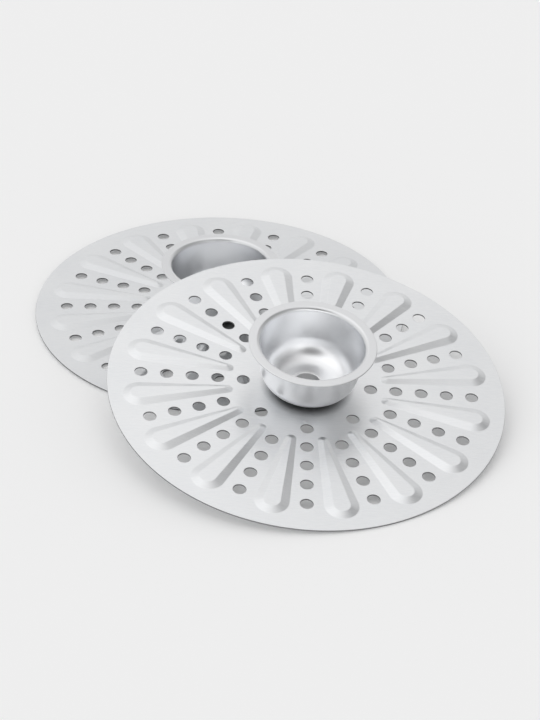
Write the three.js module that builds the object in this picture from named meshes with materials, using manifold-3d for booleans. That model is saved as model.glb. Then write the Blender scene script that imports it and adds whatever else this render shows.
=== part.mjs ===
// A pair of steamer trays for manti: two perforated, ribbed aluminium discs, each carrying a drawn cup
// that holds the next tray of the stack at its height. One tray stands on the table, tipped a little on
// its eyelet. The other leans, its sheet on the rim of the first tray's cup and its low edge on the table.
// Millimetres, +Z up. +Y runs from the leaning tray to the standing one.

import * as THREE from 'three';
import { mergeVertices } from 'three/addons/utils/BufferGeometryUtils.js';
import Module from 'manifold-3d';

const wasm = await Module();
wasm.setup();

// Disc: a stamped sheet with a flat land around its edge.
const DISC_DIAMETER = 250;
const DISC_SHEET = 1.2;
const SPOKE_COUNT = 16;

// Steam holes: rings a pitch apart, counted inwards from the edge as far as the cup allows.
const HOLE_DIAMETER = 8;
const HOLE_PITCH = 16;
const HOLE_EDGE_MARGIN = 21;
const HOLE_CUP_MARGIN = 4.5;

// Ribs: pressed up between the spokes of holes, narrow at the cup and wide at the edge.
const RIB_HEIGHT = 1.8;
const RIB_INNER_END = 47;
const RIB_EDGE_LAND = 8.6;
const RIB_INNER_WIDTH = 7.2;
const RIB_OUTER_WIDTH = 21.6;
const RIB_CREST_WIDTH = 9.6;
const RIB_CREST_TIP_WIDTH = 0.8;
const RIB_INNER_SLOPE = 5;
const RIB_OUTER_SLOPE = 5.4;

// Cup: drawn from thinner sheet, wider towards its mouth, with a flat rim turned out round it.
const CUP_SHEET = 1;
const CUP_HEIGHT = 34.6;
const CUP_MOUTH_DIAMETER = 70;
const CUP_RIM_DIAMETER = 79.6;
const CUP_DRAFT_DEGREES = 7.5;
const CUP_CORNER_RADIUS = 16;
const CUP_LIP_RADIUS = 1.6;

// Eyelet: the hollow rivet that clamps the cup to the disc and leaves a steam hole through both.
const EYELET_BORE = 16;
const EYELET_WALL = 0.7;
const EYELET_FLANGE_DIAMETER = 20.6;
const EYELET_FLANGE_THICKNESS = 1;
const EYELET_ROUND = 0.4;

// Fits: the gap between faces that seat on each other, and around the eyelet's barrel.
const SEAT_GAP = 0.3;
const BARREL_CLEARANCE = 0.3;

// Arrangement: how far the leaning tray's upper edge lies in front of the standing tray's axis,
// and how each tray is turned about its own axis.
const UPPER_EDGE_OFFSET = 12.4;
const STANDING_TURN = THREE.MathUtils.degToRad(-23.1);
const LEANING_TURN = THREE.MathUtils.degToRad(-25.2);

// Facets.
const DISC_SIDES = 96;
const HOLE_SIDES = 10;
const RIB_INNER_STEPS = 3;
const RIB_OUTER_STEPS = 8;
const CUP_SIDES = 36;
const CORNER_STEPS = 5;
const LIP_STEPS = 4;
const EYELET_SIDES = 24;
const ROUND_STEPS = 2;
const CUT_OVERSHOOT = 1;

// Heights in a tray, counted from the underside of its flat sheet.
const cupSeat = DISC_SHEET + SEAT_GAP;
const rimTop = cupSeat + CUP_HEIGHT;
const eyeletTop = cupSeat + CUP_SHEET + SEAT_GAP + EYELET_FLANGE_THICKNESS;
const eyeletBottom = -SEAT_GAP - EYELET_FLANGE_THICKNESS;

const discRadius = DISC_DIAMETER / 2;
const barrelRadius = EYELET_BORE / 2 + EYELET_WALL;
const centreHoleRadius = barrelRadius + BARREL_CLEARANCE;
const spokeAngle = (2 * Math.PI) / SPOKE_COUNT;

const sheetMaterial = new THREE.MeshStandardMaterial({ color: 0xd6d8da, roughness: 0.42, metalness: 0.85 });
const cupMaterial = new THREE.MeshStandardMaterial({ color: 0xd2d6dc, roughness: 0.25, metalness: 0.95 });
const eyeletMaterial = new THREE.MeshStandardMaterial({ color: 0xdadcde, roughness: 0.3, metalness: 0.9 });

// Geometry helpers

// Points round an arc in a plane, both ends included.
function arc(centreX, centreY, radius, fromDegrees, toDegrees, steps) {
  const points = [];
  for (let step = 0; step <= steps; step++) {
    const angle = THREE.MathUtils.degToRad(fromDegrees + ((toDegrees - fromDegrees) * step) / steps);
    points.push(new THREE.Vector2(centreX + radius * Math.cos(angle), centreY + radius * Math.sin(angle)));
  }
  return points;
}

// The corners of a regular polygon that stands for a circle.
function circle(centreX, centreY, radius, sides) {
  return arc(centreX, centreY, radius, 0, 360, sides).slice(0, sides);
}

// Only positions matter to the solids, so a geometry's shared corners become single vertices.
function welded(geometry) {
  geometry.deleteAttribute('normal');
  geometry.deleteAttribute('uv');
  return mergeVertices(geometry, 1e-4);
}

function toSolid(geometry) {
  const mesh = welded(geometry);
  return new wasm.Manifold(new wasm.Mesh({
    numProp: 3,
    vertProperties: new Float32Array(mesh.attributes.position.array),
    triVerts: new Uint32Array(mesh.index.array),
  }));
}

function toGeometry(solid) {
  const mesh = solid.getMesh();
  const geometry = new THREE.BufferGeometry();
  geometry.setAttribute('position', new THREE.BufferAttribute(new Float32Array(mesh.vertProperties), 3));
  geometry.setIndex(new THREE.BufferAttribute(new Uint32Array(mesh.triVerts), 1));
  return geometry;
}

// A closed profile of (radius, height) points turned about the Z axis.
function turned(profile, sides) {
  const geometry = new THREE.LatheGeometry([...profile, profile[0]], sides);
  geometry.rotateX(Math.PI / 2);
  return welded(geometry);
}

// A closed solid through outlines of equal point count, one above the other, each convex.
function lofted(outlines, heights) {
  const count = outlines[0].length;
  const positions = outlines.flatMap((outline, level) => outline.flatMap((p) => [p.x, p.y, heights[level]]));
  const index = [];
  for (let level = 0; level + 1 < outlines.length; level++) {
    for (let i = 0; i < count; i++) {
      const a = level * count + i;
      const b = level * count + ((i + 1) % count);
      index.push(a, b, b + count, a, b + count, a + count);
    }
  }
  const top = (outlines.length - 1) * count;
  for (let i = 1; i + 1 < count; i++) {
    index.push(0, i + 1, i, top, top + i, top + i + 1);
  }
  const geometry = new THREE.BufferGeometry();
  geometry.setAttribute('position', new THREE.Float32BufferAttribute(positions, 3));
  geometry.setIndex(index);
  return geometry;
}

// The outline round two circles on the X axis, the outer one larger, joined by their common tangents.
function taperedOutline(innerEnd, innerWidth, outerEnd, outerWidth) {
  const innerRadius = innerWidth / 2;
  const outerRadius = outerWidth / 2;
  const innerCentre = innerEnd + innerRadius;
  const outerCentre = outerEnd - outerRadius;
  const lean = Math.asin((outerRadius - innerRadius) / (outerCentre - innerCentre));
  const tangent = 90 + THREE.MathUtils.radToDeg(lean);
  return [
    ...arc(outerCentre, 0, outerRadius, -tangent, tangent, RIB_OUTER_STEPS),
    ...arc(innerCentre, 0, innerRadius, tangent, 360 - tangent, RIB_INNER_STEPS),
  ];
}

// Disc

// Radii of the hole rings, from the outermost inwards.
function holeRings() {
  const outermost = discRadius - HOLE_EDGE_MARGIN;
  const innermost = CUP_MOUTH_DIAMETER / 2 + HOLE_CUP_MARGIN;
  const rings = [];
  for (let radius = outermost; radius >= innermost; radius -= HOLE_PITCH) {
    rings.push(radius);
  }
  return rings;
}

// The flat blank with its punched holes. Every second spoke leaves out the innermost ring.
function perforatedBlank() {
  const shape = new THREE.Shape(circle(0, 0, discRadius, DISC_SIDES));
  shape.holes.push(new THREE.Path(circle(0, 0, centreHoleRadius, EYELET_SIDES)));
  const rings = holeRings();
  for (let spoke = 0; spoke < SPOKE_COUNT; spoke++) {
    const angle = spoke * spokeAngle;
    const count = spoke % 2 === 0 ? rings.length : rings.length - 1;
    for (const radius of rings.slice(0, count)) {
      const hole = circle(radius * Math.cos(angle), radius * Math.sin(angle), HOLE_DIAMETER / 2, HOLE_SIDES);
      shape.holes.push(new THREE.Path(hole));
    }
  }
  return new THREE.ExtrudeGeometry(shape, { depth: DISC_SHEET, bevelEnabled: false });
}

// One rib's pressed form: it slopes from its foot to a narrow crest, above a short straight stretch.
function ribForm(footHeight, straightDepth) {
  const outerEnd = discRadius - RIB_EDGE_LAND;
  const crestOuterEnd = outerEnd - RIB_OUTER_SLOPE;
  const crestInnerEnd = RIB_INNER_END + RIB_INNER_SLOPE;
  const foot = taperedOutline(RIB_INNER_END, RIB_INNER_WIDTH, outerEnd, RIB_OUTER_WIDTH);
  const crest = taperedOutline(crestInnerEnd, RIB_CREST_TIP_WIDTH, crestOuterEnd, RIB_CREST_WIDTH);
  return lofted([foot, foot, crest], [footHeight - straightDepth, footHeight, footHeight + RIB_HEIGHT]);
}

function discGeometry() {
  const raised = toSolid(ribForm(DISC_SHEET, DISC_SHEET / 2));
  const hollow = toSolid(ribForm(0, CUT_OVERSHOOT));
  let disc = toSolid(perforatedBlank());
  for (let rib = 0; rib < SPOKE_COUNT; rib++) {
    const degrees = THREE.MathUtils.radToDeg((rib + 0.5) * spokeAngle);
    disc = disc.add(raised.rotate([0, 0, degrees])).subtract(hollow.rotate([0, 0, degrees]));
  }
  return toGeometry(disc);
}

// Cup

// The wall is straight between a rounded corner below and a rounded lip above, tangent to both.
function cupGeometry() {
  const rim = CUP_RIM_DIAMETER / 2;
  const draft = THREE.MathUtils.degToRad(CUP_DRAFT_DEGREES);
  const lipX = CUP_MOUTH_DIAMETER / 2;
  const lipY = CUP_HEIGHT - CUP_SHEET - CUP_LIP_RADIUS;
  const wallOffset = lipX * Math.cos(draft) - lipY * Math.sin(draft) - CUP_LIP_RADIUS;
  const cornerY = CUP_CORNER_RADIUS;
  const cornerX = (wallOffset + cornerY * Math.sin(draft) - CUP_CORNER_RADIUS) / Math.cos(draft);
  const wallFacing = -CUP_DRAFT_DEGREES;
  const lipStart = 180 - CUP_DRAFT_DEGREES;
  return turned([
    new THREE.Vector2(centreHoleRadius, 0),
    ...arc(cornerX, cornerY, CUP_CORNER_RADIUS, -90, wallFacing, CORNER_STEPS),
    ...arc(lipX, lipY, CUP_LIP_RADIUS, lipStart, 90, LIP_STEPS),
    new THREE.Vector2(rim, CUP_HEIGHT - CUP_SHEET),
    new THREE.Vector2(rim, CUP_HEIGHT),
    ...arc(lipX, lipY, CUP_LIP_RADIUS + CUP_SHEET, 90, lipStart, LIP_STEPS),
    ...arc(cornerX, cornerY, CUP_CORNER_RADIUS - CUP_SHEET, wallFacing, -90, CORNER_STEPS),
    new THREE.Vector2(centreHoleRadius, CUP_SHEET),
  ], CUP_SIDES);
}

// Eyelet

// A tube flared over the cup's base at its top and under the disc at its bottom.
function eyeletGeometry() {
  const bore = EYELET_BORE / 2;
  const flange = EYELET_FLANGE_DIAMETER / 2;
  const round = EYELET_ROUND;
  const under = eyeletBottom + EYELET_FLANGE_THICKNESS;
  const over = eyeletTop - EYELET_FLANGE_THICKNESS;
  return turned([
    ...arc(bore + round, eyeletBottom + round, round, 180, 270, ROUND_STEPS),
    ...arc(flange - round, eyeletBottom + round, round, 270, 360, ROUND_STEPS),
    new THREE.Vector2(flange, under),
    new THREE.Vector2(barrelRadius, under),
    new THREE.Vector2(barrelRadius, over),
    new THREE.Vector2(flange, over),
    ...arc(flange - round, eyeletTop - round, round, 0, 90, ROUND_STEPS),
    ...arc(bore + round, eyeletTop - round, round, 90, 180, ROUND_STEPS),
  ], EYELET_SIDES);
}

// Trays

const shapes = { disc: discGeometry(), cup: cupGeometry(), eyelet: eyeletGeometry() };

function piece(name, geometry, material, height) {
  const mesh = new THREE.Mesh(geometry, material);
  mesh.name = name;
  mesh.position.z = height;
  return mesh;
}

// One tray in its own frame: the underside of its sheet at z = 0, its axis on Z.
function tray(name, turn) {
  const group = new THREE.Group();
  group.add(piece(`${name}_disc`, shapes.disc, sheetMaterial, 0));
  group.add(piece(`${name}_cup`, shapes.cup, cupMaterial, cupSeat));
  group.add(piece(`${name}_eyelet`, shapes.eyelet, eyeletMaterial, 0));
  group.rotation.z = turn;
  return group;
}

// The standing tray touches the table with its eyelet and, tipped towards the leaning one, its near edge.
function tipAngle() {
  const eyeletFoot = EYELET_FLANGE_DIAMETER / 2 - EYELET_ROUND;
  return Math.atan(-eyeletBottom / (discRadius - eyeletFoot));
}

// The lean at which a sheet with its low edge on the table lies on a point of the rim.
function leanAngle(restHeight, restDistance) {
  const rounds = 20;
  let angle = 0;
  for (let round = 0; round < rounds; round++) {
    angle = Math.atan(restHeight / (DISC_DIAMETER * Math.cos(angle) + UPPER_EDGE_OFFSET - restDistance));
  }
  return angle;
}

const tip = tipAngle();
const standingTray = new THREE.Group();
standingTray.add(tray('back_tray', STANDING_TURN));
standingTray.rotation.x = tip;
standingTray.position.z = discRadius * Math.sin(tip);

const rimRadius = CUP_RIM_DIAMETER / 2;
const rimFront = rimRadius * Math.cos(tip) + rimTop * Math.sin(tip);
const rimHeight = standingTray.position.z + rimTop * Math.cos(tip) - rimRadius * Math.sin(tip);
const lean = leanAngle(rimHeight + SEAT_GAP, rimFront);
const leaningTray = new THREE.Group();
leaningTray.add(tray('front_tray', LEANING_TURN));
leaningTray.rotation.x = lean;
leaningTray.position.set(0, -UPPER_EDGE_OFFSET - discRadius * Math.cos(lean), discRadius * Math.sin(lean));

// The origin is the middle of the pair's outline on the table.
const trays = new THREE.Group();
trays.add(standingTray, leaningTray);
trays.updateMatrixWorld(true);
const outline = new THREE.Box3().setFromObject(trays, true);
trays.position.set(-(outline.min.x + outline.max.x) / 2, -(outline.min.y + outline.max.y) / 2, -outline.min.z);

export default trays;
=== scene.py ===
import math

import bpy
import numpy as np
from mathutils import Matrix, Vector
from mathutils.geometry import delaunay_2d_cdt


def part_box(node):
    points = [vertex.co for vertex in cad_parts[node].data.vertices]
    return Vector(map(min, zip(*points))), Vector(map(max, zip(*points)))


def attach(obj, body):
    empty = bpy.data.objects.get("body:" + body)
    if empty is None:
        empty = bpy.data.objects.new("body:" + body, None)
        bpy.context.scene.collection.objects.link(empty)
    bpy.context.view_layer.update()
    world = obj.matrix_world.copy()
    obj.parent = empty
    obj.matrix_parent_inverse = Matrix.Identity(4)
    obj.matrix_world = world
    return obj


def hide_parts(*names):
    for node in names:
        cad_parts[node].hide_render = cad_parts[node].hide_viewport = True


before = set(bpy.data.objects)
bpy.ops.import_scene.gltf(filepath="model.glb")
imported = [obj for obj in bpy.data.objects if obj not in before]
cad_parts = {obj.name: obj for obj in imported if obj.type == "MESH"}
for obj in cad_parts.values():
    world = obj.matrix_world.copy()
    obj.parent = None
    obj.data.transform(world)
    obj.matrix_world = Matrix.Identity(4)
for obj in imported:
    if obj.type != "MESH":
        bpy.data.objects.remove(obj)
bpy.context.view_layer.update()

# Sizes of one tray in millimetres, as in the CAD part.
MM = 0.001
DISC_RADIUS = 125.0
DISC_SHEET = 1.2
SPOKES = 16
HOLE_RADIUS = 4.0
HOLE_RINGS = (104.0, 88.0, 72.0, 56.0, 40.0)
RIB_HEIGHT = 1.8
RIB_FOOT = dict(inner_end=47.0, inner_width=7.2, outer_end=116.4, outer_width=21.6)
RIB_CREST = dict(inner_end=52.0, inner_width=0.8, outer_end=111.0, outer_width=9.6)
CUP_SHEET = 1.0
CUP_SEAT = 1.5
CUP_HEIGHT = 34.6
CUP_MOUTH_RADIUS = 35.0
CUP_RIM_RADIUS = 39.8
CUP_DRAFT = 7.5
CUP_CORNER = 16.0
CUP_LIP = 1.6
EYELET_BORE_RADIUS = 8.0
EYELET_BARREL_RADIUS = 8.7
EYELET_FLANGE_RADIUS = 10.3
EYELET_THICKNESS = 1.0
EYELET_TOP = 3.8
EYELET_BOTTOM = -1.3
EYELET_ROUND = 0.4
CENTRE_HOLE_RADIUS = 9.0
SEAT_GAP = 0.3

# How the trays lie: the turn of each about its axis, and how far the leaning one's upper edge lies
# in front of the standing one's axis.
TURNS = {"back_tray": math.radians(-23.1), "front_tray": math.radians(-25.2)}
UPPER_EDGE_OFFSET = 12.4

# Finish of the pressed and cut edges, and facets of the smooth meshes.
EDGE_ROUND = 0.3
RIB_EDGE_BLEND = 0.12
DISC_STEPS = 240
HOLE_STEPS = 32
CENTRE_STEPS = 64
ROUND_STEPS = 3
RIB_OUTER_STEPS = 24
RIB_INNER_STEPS = 8
RIB_SIDE_STEPS = 14
CUP_STEPS = 128
ARC_STEPS = 14
EYELET_STEPS = 64

# Camera of the photograph: place in metres, view and up directions, focal length on a 36 mm high frame.
CAMERA_PLACE = Vector((-0.47131, -0.99457, 0.70878))
CAMERA_FORWARD = Vector((0.36427852, 0.75763265, -0.54156619))
CAMERA_UP = Vector((0.21012644, 0.49966133, 0.8403484))
FRAME_HEIGHT = 36.0
LENS = 99.49


# Placing the trays

def tray_places():
    """Matrices that carry a tray's own frame to where the standing and the leaning tray lie."""
    eyelet_foot = EYELET_FLANGE_RADIUS - EYELET_ROUND
    tip = math.atan(-EYELET_BOTTOM / (DISC_RADIUS - eyelet_foot))
    rim_top = CUP_SEAT + CUP_HEIGHT
    stand_z = DISC_RADIUS * math.sin(tip)
    rim_front = CUP_RIM_RADIUS * math.cos(tip) + rim_top * math.sin(tip)
    rest = stand_z + rim_top * math.cos(tip) - CUP_RIM_RADIUS * math.sin(tip) + SEAT_GAP
    lean = 0.0
    for _ in range(20):
        lean = math.atan(rest / (2 * DISC_RADIUS * math.cos(lean) + UPPER_EDGE_OFFSET - rim_front))
    low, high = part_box("back_tray_eyelet")
    eyelet_middle = (EYELET_TOP + EYELET_BOTTOM) / 2
    stand_y = (low[1] + high[1]) / 2 / MM + eyelet_middle * math.sin(tip)
    lean_y = stand_y - UPPER_EDGE_OFFSET - DISC_RADIUS * math.cos(lean)
    lean_z = DISC_RADIUS * math.sin(lean)

    def place(y, z, tilt):
        return Matrix.Translation((0, y * MM, z * MM)) @ Matrix.Rotation(tilt, 4, "X")

    return {"back_tray": place(stand_y, stand_z, tip), "front_tray": place(lean_y, lean_z, lean)}


# Mesh helpers

def mesh_from(name, points, normals, faces):
    """A smooth mesh in metres from points in millimetres, with a given normal at each point."""
    mesh = bpy.data.meshes.new(name)
    mesh.from_pydata((np.asarray(points) * MM).tolist(), [], faces)
    mesh.polygons.foreach_set("use_smooth", [True] * len(mesh.polygons))
    mesh.normals_split_custom_set_from_vertices(np.asarray(normals).tolist())
    mesh.update()
    return mesh


def circle(centre, radius, steps):
    angles = np.linspace(0, 2 * math.pi, steps, endpoint=False)
    return np.stack([centre[0] + radius * np.cos(angles), centre[1] + radius * np.sin(angles)], axis=1)


def profile_arc(centre, radius, start, end, facing, steps=ARC_STEPS):
    """Points of a turned profile round an arc: radius, height and the normal, out of or into the arc."""
    angles = np.radians(np.linspace(start, end, steps + 1))
    along = np.stack([np.cos(angles), np.sin(angles)], axis=1)
    return np.hstack([np.asarray(centre) + radius * along, facing * along])


def turned_mesh(name, profile, steps):
    """A closed profile of (radius, height, normal) turned about Z."""
    count = len(profile)
    points, normals, faces = [], [], []
    for step in range(steps):
        angle = 2 * math.pi * step / steps
        c, s = math.cos(angle), math.sin(angle)
        points += [(r * c, r * s, z) for r, z, _, _ in profile]
        normals += [(n * c, n * s, up) for _, _, n, up in profile]
    for step in range(steps):
        here, there = step * count, (step + 1) % steps * count
        for i in range(count):
            j = (i + 1) % count
            faces.append((here + i, there + i, there + j, here + j))
    return mesh_from(name, points, normals, faces)


# Disc

def tapered_outline(inner_end, inner_width, outer_end, outer_width):
    """Points round two circles on the X axis and along their common tangents."""
    inner_radius, outer_radius = inner_width / 2, outer_width / 2
    inner_centre, outer_centre = inner_end + inner_radius, outer_end - outer_radius
    tangent = math.pi / 2 + math.asin((outer_radius - inner_radius) / (outer_centre - inner_centre))
    outer = np.linspace(-tangent, tangent, RIB_OUTER_STEPS + 1)
    inner = np.linspace(tangent, 2 * math.pi - tangent, RIB_INNER_STEPS + 1)
    outer = np.stack([outer_centre + outer_radius * np.cos(outer), outer_radius * np.sin(outer)], axis=1)
    inner = np.stack([inner_centre + inner_radius * np.cos(inner), inner_radius * np.sin(inner)], axis=1)
    along = np.linspace(0, 1, RIB_SIDE_STEPS + 1)[1:-1, None]
    side = outer[-1] * (1 - along) + inner[0] * along
    back = inner[-1] * (1 - along) + outer[0] * along
    return np.vstack([outer, side, inner, back])


def rib_rise(share):
    """Height of a rib, from 0 to 1, at a share of the way from foot to crest: a slope with eased ends."""
    b = RIB_EDGE_BLEND
    if share < b:
        return share ** 2 / (2 * b * (1 - b))
    if share > 1 - b:
        return 1 - (1 - share) ** 2 / (2 * b * (1 - b))
    return (share - b / 2) / (1 - b)


def hole_centres():
    for spoke in range(SPOKES):
        angle = 2 * math.pi * spoke / SPOKES
        rings = HOLE_RINGS if spoke % 2 == 0 else HOLE_RINGS[:-1]
        for radius in rings:
            yield radius * math.cos(angle), radius * math.sin(angle)


def disc_mesh():
    """The pressed sheet: its top is triangulated between the holes and the ribs' contour lines."""
    loops = [(circle((0, 0), DISC_RADIUS - EDGE_ROUND, DISC_STEPS), 0.0)]
    loops.append((circle((0, 0), CENTRE_HOLE_RADIUS + EDGE_ROUND, CENTRE_STEPS), 0.0))
    rims = [((0, 0), DISC_RADIUS, 1), ((0, 0), CENTRE_HOLE_RADIUS, -1)]
    for centre in hole_centres():
        loops.append((circle(centre, HOLE_RADIUS + EDGE_ROUND, HOLE_STEPS), 0.0))
        rims.append((centre, HOLE_RADIUS, -1))
    foot, crest = tapered_outline(**RIB_FOOT), tapered_outline(**RIB_CREST)
    b = RIB_EDGE_BLEND
    shares = (0, b / 3, 2 * b / 3, b, 0.5, 1 - b, 1 - 2 * b / 3, 1 - b / 3, 1)
    for rib in range(SPOKES):
        angle = 2 * math.pi * (rib + 0.5) / SPOKES
        turn = np.array([[math.cos(angle), math.sin(angle)], [-math.sin(angle), math.cos(angle)]])
        for share in shares:
            outline = foot * (1 - share) + crest * share
            loops.append((outline @ turn, RIB_HEIGHT * rib_rise(share)))

    flat, rise, loop_of, edges, starts = [], [], [], [], []
    for number, (outline, height) in enumerate(loops):
        start, count = len(flat), len(outline)
        starts.append((start, count))
        flat += [Vector(p) for p in outline]
        rise += [height] * count
        loop_of += [number] * count
        edges += [(start + i, start + (i + 1) % count) for i in range(count)]
    spots, _, triangles, origins, _, _ = delaunay_2d_cdt(flat, edges, [], 0, 1e-4)
    at = {origin: spot for spot, sources in enumerate(origins) for origin in sources}
    source = [sources[0] for sources in origins]
    open_loops = set(range(1, len(rims)))
    kept = []
    for triangle in triangles:
        owners = {loop_of[source[v]] for v in triangle}
        if not (len(owners) == 1 and owners <= open_loops):
            kept.append(tuple(triangle))

    count = len(spots)
    height = np.array([rise[s] for s in source])
    ground = np.array([tuple(p) for p in spots])
    top = np.column_stack([ground, height + DISC_SHEET])
    low = np.column_stack([ground, height])
    tris = np.array(kept)
    face = np.cross(top[tris[:, 1]] - top[tris[:, 0]], top[tris[:, 2]] - top[tris[:, 0]])
    up = np.zeros_like(top)
    for corner in range(3):
        np.add.at(up, tris[:, corner], face)
    level = (height == 0) | (np.abs(height - RIB_HEIGHT) < 1e-9)
    up[level] = (0, 0, 1)
    up /= np.linalg.norm(up, axis=1, keepdims=True)
    points, normals = [*top, *low], [*up, *-up]
    faces = kept + [(a + count, c + count, b + count) for a, b, c in kept]

    turns = np.linspace(0, math.pi / 2, ROUND_STEPS + 1)
    section = [(math.sin(t), DISC_SHEET - EDGE_ROUND + EDGE_ROUND * math.cos(t), math.cos(t)) for t in turns]
    section += [(out, DISC_SHEET - z, -rise) for out, z, rise in reversed(section)]
    for number, (centre, radius, facing) in enumerate(rims):
        start, steps = starts[number]
        around = circle((0, 0), 1, steps)
        rows = [[at[start + i] for i in range(steps)]]
        for out, z, rise in section[1:-1]:
            rows.append(list(range(len(points), len(points) + steps)))
            ring = radius - facing * EDGE_ROUND * (1 - out)
            points += [(centre[0] + ring * x, centre[1] + ring * y, z) for x, y in around]
            normals += [(facing * out * x, facing * out * y, rise) for x, y in around]
        rows.append([at[start + i] + count for i in range(steps)])
        for upper, lower in zip(rows, rows[1:]):
            for i in range(steps):
                j = (i + 1) % steps
                quad = (upper[i], lower[i], lower[j], upper[j])
                faces.append(quad if facing > 0 else quad[::-1])
    return mesh_from("disc", points, normals, faces)


# Cup and eyelet

def cup_mesh():
    """The drawn cup: a tapered wall, tangent to the rounded corner below it and the lip above it."""
    draft = math.radians(CUP_DRAFT)
    lip = (CUP_MOUTH_RADIUS, CUP_HEIGHT - CUP_SHEET - CUP_LIP)
    wall_offset = lip[0] * math.cos(draft) - lip[1] * math.sin(draft) - CUP_LIP
    corner_radius = (wall_offset + CUP_CORNER * math.sin(draft) - CUP_CORNER) / math.cos(draft)
    corner = (corner_radius, CUP_CORNER)
    half = CUP_SHEET / 2
    lip_start = 180 - CUP_DRAFT
    profile = np.vstack([
        [(CENTRE_HOLE_RADIUS, 0, 0, -1)],
        profile_arc(corner, CUP_CORNER, -90, -CUP_DRAFT, 1),
        profile_arc(lip, CUP_LIP, lip_start, 90, -1),
        profile_arc((CUP_RIM_RADIUS - half, CUP_HEIGHT - half), half, -90, 90, 1),
        profile_arc(lip, CUP_LIP + CUP_SHEET, 90, lip_start, 1),
        profile_arc(corner, CUP_CORNER - CUP_SHEET, -CUP_DRAFT, -90, -1),
        [(CENTRE_HOLE_RADIUS, CUP_SHEET, 0, 1)],
    ])
    profile[:, 1] += CUP_SEAT
    return turned_mesh("cup", profile, CUP_STEPS)


def eyelet_mesh():
    r = EYELET_ROUND
    inner, outer = EYELET_BORE_RADIUS + r, EYELET_FLANGE_RADIUS - r
    under, over = EYELET_BOTTOM + EYELET_THICKNESS, EYELET_TOP - EYELET_THICKNESS
    profile = np.vstack([
        profile_arc((inner, EYELET_BOTTOM + r), r, 180, 270, 1),
        profile_arc((outer, EYELET_BOTTOM + r), r, 270, 360, 1),
        [(EYELET_FLANGE_RADIUS, under, 1, 0), (EYELET_BARREL_RADIUS, under, 0, 1)],
        [(EYELET_BARREL_RADIUS, over, 0, -1), (EYELET_FLANGE_RADIUS, over, 1, 0)],
        profile_arc((outer, EYELET_TOP - r), r, 0, 90, 1),
        profile_arc((inner, EYELET_TOP - r), r, 90, 180, 1),
    ])
    return turned_mesh("eyelet", profile, EYELET_STEPS)


# Materials

# The rolled grain runs across the photo, so its texture space is turned by this much.
GRAIN_TURN = math.radians(24.8)
# Tones from the darker to the lighter spots, and roughness from the smoother to the duller ones.
SHEET_TONES = ((0.69, 0.70, 0.715), (0.785, 0.79, 0.795))
DULL_SHEET = ("disc_dull_aluminium", 0.52, 0.62)
SATIN_SHEET = ("disc_satin_aluminium", 0.33, 0.43)
CLOUD_SHARE = 0.4
GRAIN_SHARE = 0.6
CLOUD_ROUGHNESS = 0.02
CUP_TONES = ((0.955, 0.967, 0.985), (0.97, 0.977, 0.99))
CUP_ROUGHNESS = (0.285, 0.305)
# The cup's base and rim tones are painted shade.
CUP_BASE_PAINTED_SHADE_TONE = (0.80, 0.805, 0.815)
CUP_RIM_PAINTED_SHADE_TONE = (0.68, 0.685, 0.695)
EYELET_TONES = ((0.80, 0.805, 0.815), (0.88, 0.88, 0.885))
EYELET_ROUGHNESS = (0.29, 0.38)
# Painted shade round the foot of the cup, standing in for its contact shadow: it fades out between these
# radii, in metres.
CUP_FOOT_PAINTED_SHADE_TONE = (0.08, 0.08, 0.083)
CUP_FOOT_PAINTED_SHADE_RADII = (0.018, 0.030)
# A cut edge is where the normal's upright share falls from the second value to the first. Its dark tone is
# painted shade, and its added roughness is a real duller finish.
CUT_EDGE_PAINTED_SHADE_TONE = (0.26, 0.26, 0.265)
CUT_FACING = (0.30, 0.75)
CUT_ROUGHNESS = 0.2


class Nodes:
    """The node tree of a material or the sky, with short calls for the nodes that they use."""

    def __init__(self, owner, shader="Principled BSDF"):
        owner.use_nodes = True
        self.owner = owner
        self.tree = owner.node_tree
        self.shader = self.tree.nodes[shader]

    def add(self, kind, inputs=None, **settings):
        node = self.tree.nodes.new(kind)
        for key, value in settings.items():
            setattr(node, key, value)
        for key, value in (inputs or {}).items():
            if isinstance(value, bpy.types.NodeSocket):
                self.tree.links.new(value, node.inputs[key])
            else:
                node.inputs[key].default_value = value
        return node

    def place(self, scale, turn=0.0):
        spot = self.add("ShaderNodeTexCoord").outputs["Object"]
        spot = self.add("ShaderNodeMapping", {"Vector": spot, "Rotation": (0, 0, turn)}).outputs["Vector"]
        return self.add("ShaderNodeMapping", {"Vector": spot, "Scale": scale}).outputs["Vector"]

    def noise(self, stretch, scale, detail=3.0, roughness=0.5, turn=0.0):
        spot = self.place(stretch, turn)
        inputs = {"Vector": spot, "Scale": scale, "Detail": detail, "Roughness": roughness}
        return self.add("ShaderNodeTexNoise", inputs).outputs["Fac"]

    def span(self, value, low, high, start=0.3, end=0.7):
        inputs = {"Value": value, "From Min": start, "From Max": end, "To Min": low, "To Max": high}
        return self.add("ShaderNodeMapRange", inputs).outputs["Result"]

    def math(self, operation, a, b):
        return self.add("ShaderNodeMath", {0: a, 1: b}, operation=operation).outputs[0]

    def tint(self, factor, first, second):
        node = self.add("ShaderNodeMix", data_type="RGBA")
        self.tree.links.new(factor, node.inputs["Factor"])
        colours = [s for s in node.inputs if s.type == "RGBA"]
        for socket, colour in zip(colours, (first, second)):
            if isinstance(colour, bpy.types.NodeSocket):
                self.tree.links.new(colour, socket)
            else:
                socket.default_value = (*colour, 1)
        return next(s for s in node.outputs if s.type == "RGBA")

    def bump(self, height, strength, depth, under=None):
        inputs = {"Height": height, "Strength": strength, "Distance": depth}
        if under is not None:
            inputs["Normal"] = under
        return self.add("ShaderNodeBump", inputs).outputs["Normal"]

    def link(self, socket, value):
        self.tree.links.new(value, self.shader.inputs[socket])


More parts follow.
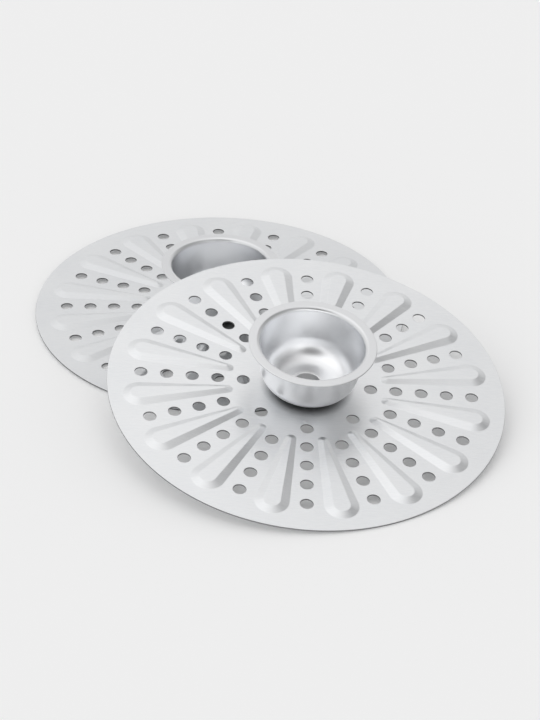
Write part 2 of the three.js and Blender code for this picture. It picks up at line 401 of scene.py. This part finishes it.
def disc_material(name, smooth, dull):
    """Satin rolled sheet: grain along one direction, faint clouds, rougher cut edges with painted shade on
    them, and painted shade round the foot of the cup.
    """
    n = Nodes(bpy.data.materials.new(name))
    n.shader.inputs["Metallic"].default_value = 1.0
    clouds = n.noise(stretch=(1, 1, 1), scale=22.0)
    grain = n.noise(stretch=(1, 8, 1), scale=190.0, detail=4.0, roughness=0.6, turn=GRAIN_TURN)
    speckle = n.noise(stretch=(1, 1, 1), scale=1500.0, detail=2.0)
    mottle = n.math("ADD", n.span(clouds, 0.0, CLOUD_SHARE), n.span(grain, 0.0, GRAIN_SHARE))
    sheet = n.tint(mottle, *SHEET_TONES)
    flat = n.place((1, 1, 0))
    radius = n.add("ShaderNodeVectorMath", {0: flat}, operation="LENGTH").outputs["Value"]
    # Painted shade: the disc darkens towards the foot of the cup.
    cup_foot_painted_shade = n.span(radius, 1.0, 0.0, *CUP_FOOT_PAINTED_SHADE_RADII)
    sheet = n.tint(cup_foot_painted_shade, sheet, CUP_FOOT_PAINTED_SHADE_TONE)
    facing = n.add("ShaderNodeTexCoord").outputs["Normal"]
    upright = n.math("ABSOLUTE", n.add("ShaderNodeSeparateXYZ", {"Vector": facing}).outputs["Z"], 0.0)
    # Painted shade on the cut edges, which are also made rougher.
    edge_shade_and_dullness = n.span(upright, 1.0, 0.0, *CUT_FACING)
    n.link("Base Color", n.tint(edge_shade_and_dullness, sheet, CUT_EDGE_PAINTED_SHADE_TONE))
    rough = n.span(grain, smooth, dull)
    rough = n.math("ADD", rough, n.span(clouds, -CLOUD_ROUGHNESS, CLOUD_ROUGHNESS))
    n.link("Roughness", n.math("ADD", rough, n.math("MULTIPLY", edge_shade_and_dullness, CUT_ROUGHNESS)))
    fine = n.bump(speckle, strength=0.20, depth=0.0001)
    n.link("Normal", n.bump(grain, strength=0.30, depth=0.0003, under=fine))
    return n.owner


def cup_material():
    """Drawn sheet, shinier than the disc: streaks up the wall, soft waviness, and painted shade on the rim
    and base.
    """
    n = Nodes(bpy.data.materials.new("cup_drawn_aluminium"))
    n.shader.inputs["Metallic"].default_value = 1.0
    spot = n.add("ShaderNodeSeparateXYZ", {"Vector": n.place((1, 1, 1))}).outputs
    around = n.math("ARCTAN2", spot["Y"], spot["X"])
    polar = n.add("ShaderNodeCombineXYZ", {"X": around, "Y": spot["Z"]}).outputs["Vector"]
    polar = n.add("ShaderNodeMapping", {"Vector": polar, "Scale": (1, 2, 1)}).outputs["Vector"]
    streaks = {"Vector": polar, "Scale": 9.0, "Detail": 2.0}
    draw_lines = n.add("ShaderNodeTexNoise", streaks).outputs["Fac"]
    clouds = n.noise(stretch=(1, 1, 1), scale=45.0)
    body = n.tint(n.span(clouds, 0.0, 1.0), *CUP_TONES)
    sheet = CUP_SHEET * MM
    base = CUP_SEAT * MM
    top = base + CUP_HEIGHT * MM
    # Painted shade: the base and the rim are darker than the wall.
    base_painted_shade = n.span(spot["Z"], 1.0, 0.0, base + 2 * sheet, base + 4 * sheet)
    rim_painted_shade = n.span(spot["Z"], 0.0, 1.0, top - 3 * sheet, top - sheet)
    body = n.tint(base_painted_shade, body, CUP_BASE_PAINTED_SHADE_TONE)
    n.link("Base Color", n.tint(rim_painted_shade, body, CUP_RIM_PAINTED_SHADE_TONE))
    rough = n.span(draw_lines, *CUP_ROUGHNESS)
    n.link("Roughness", n.math("ADD", rough, n.span(clouds, 0.0, CLOUD_ROUGHNESS)))
    n.link("Normal", n.bump(clouds, strength=0.02, depth=0.0003))
    return n.owner


def eyelet_material():
    """Bright rolled-over metal with small hammer marks."""
    n = Nodes(bpy.data.materials.new("eyelet_aluminium"))
    n.shader.inputs["Metallic"].default_value = 1.0
    marks = n.noise(stretch=(1, 1, 1), scale=380.0)
    clouds = n.noise(stretch=(1, 1, 1), scale=90.0, detail=2.0)
    n.link("Base Color", n.tint(n.span(clouds, 0.0, 1.0), *EYELET_TONES))
    n.link("Roughness", n.span(marks, *EYELET_ROUGHNESS))
    n.link("Normal", n.bump(marks, strength=0.04, depth=0.0003))
    return n.owner


# Pieces

places = tray_places()
sheets = {"back_tray": disc_material(*DULL_SHEET), "front_tray": disc_material(*SATIN_SHEET)}
finishes = {
    "disc": (disc_mesh(), sheets, "disc_sheet"),
    "cup": (cup_mesh(), dict.fromkeys(places, cup_material()), "cup_sheet"),
    "eyelet": (eyelet_mesh(), dict.fromkeys(places, eyelet_material()), "eyelet"),
}
for tray, matrix in places.items():
    for kind, (mesh, materials, slot) in finishes.items():
        piece = bpy.data.objects.new(f"{tray}_{kind}_finished", mesh.copy())
        piece.data.transform(Matrix.Rotation(TURNS[tray], 4, "Z"))
        bpy.context.collection.objects.link(piece)
        piece.data.materials.append(materials[tray])
        piece.matrix_world = matrix
        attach(piece, tray)
        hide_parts(f"{tray}_{kind}")


# Floor, light and camera

FLOOR_SIZE = 12.0
FLOOR_DROP = 0.0001
FLOOR_TONE = 0.81
FLOOR_GLOW = 0.14
SKY_LEVEL = 0.985
# The high sky changes from the photo's left to its right, by these shares of the level.
SKY_LEFT_SHARE = 0.08
SKY_RIGHT_SHARE = -0.68
SKY_ACROSS = (0.05, 0.62)
SKY_HEIGHT = (0.50, 0.72)
SKY_TOP_SHARE = 0.22
SKY_TOP_HEIGHT = (0.62, 0.90)
# Parts of the sky that are darker or brighter: direction, cosines where each starts and is full, factor.
SKY_PARTS = (
    (Vector((0.91, -0.42, 0.02)), 0.35, 0.90, 0.55),
    (Vector((-0.33, -0.68, 0.655)), 0.88, 0.97, 0.12),
    (Vector((-0.40, -0.90, 0.02)), 0.72, 0.97, 1.90),
    (Vector((0.40, 0.85, 0.35)), 0.80, 0.97, 0.90),
    (Vector((0.36, 0.34, 0.87)), 0.97, 0.998, 1.18),
    (Vector((0.44, 0.88, 0.08)), 0.88, 0.98, 1.10),
)


def floor_plane():
    half = FLOOR_SIZE / 2
    mesh = bpy.data.meshes.new("floor")
    corners = [(-half, -half, 0), (half, -half, 0), (half, half, 0), (-half, half, 0)]
    mesh.from_pydata(corners, [], [(0, 1, 2, 3)])
    plane = bpy.data.objects.new("floor", mesh)
    plane.location.z = -FLOOR_DROP
    bpy.context.collection.objects.link(plane)
    n = Nodes(bpy.data.materials.new("floor_paper"))
    n.shader.inputs["Base Color"].default_value = (FLOOR_TONE, FLOOR_TONE, FLOOR_TONE, 1)
    n.shader.inputs["Roughness"].default_value = 0.9
    n.shader.inputs["Specular IOR Level"].default_value = 0.0
    n.shader.inputs["Emission Color"].default_value = (1, 1, 1, 1)
    paths = n.add("ShaderNodeLightPath").outputs
    seen = n.math("MAXIMUM", paths["Is Camera Ray"], paths["Is Glossy Ray"])
    seen = n.math("MAXIMUM", seen, paths["Is Transmission Ray"])
    n.link("Emission Strength", n.math("MULTIPLY", seen, FLOOR_GLOW))
    mesh.materials.append(n.owner)


def studio_light():
    """An even low sky; the upper one grows darker from the photo's left to its right."""
    world = bpy.data.worlds.new("studio")
    bpy.context.scene.world = world
    n = Nodes(world, "Background")
    heading = n.add("ShaderNodeTexCoord").outputs["Generated"]

    def towards(direction):
        inputs = {0: heading, 1: direction.normalized()}
        return n.add("ShaderNodeVectorMath", inputs, operation="DOT_PRODUCT").outputs["Value"]

    across = towards(CAMERA_FORWARD.cross(CAMERA_UP))
    upward = towards(Vector((0, 0, 1)))
    height = n.span(upward, 0.0, 1.0, *SKY_HEIGHT)
    change = n.math("MULTIPLY", n.span(across, SKY_LEFT_SHARE, SKY_RIGHT_SHARE, *SKY_ACROSS), height)
    change = n.math("ADD", change, n.span(upward, 1.0, 1.0 + SKY_TOP_SHARE, *SKY_TOP_HEIGHT))
    level = n.math("MULTIPLY", change, SKY_LEVEL)
    for direction, start, full, factor in SKY_PARTS:
        level = n.math("MULTIPLY", level, n.span(towards(direction), 1.0, factor, start, full))
    n.shader.inputs["Color"].default_value = (1, 1, 1, 1)
    n.link("Strength", level)


def photo_camera():
    data = bpy.data.cameras.new("camera")
    data.sensor_fit = "VERTICAL"
    data.sensor_height = FRAME_HEIGHT
    data.lens = LENS
    data.clip_end = 50
    camera = bpy.data.objects.new("camera", data)
    right = CAMERA_FORWARD.cross(CAMERA_UP)
    turn = Matrix((right, CAMERA_UP, -CAMERA_FORWARD)).transposed().to_4x4()
    camera.matrix_world = Matrix.Translation(CAMERA_PLACE) @ turn
    bpy.context.collection.objects.link(camera)
    bpy.context.scene.camera = camera


floor_plane()
studio_light()
photo_camera()
bpy.context.scene.view_settings.view_transform = "Standard"
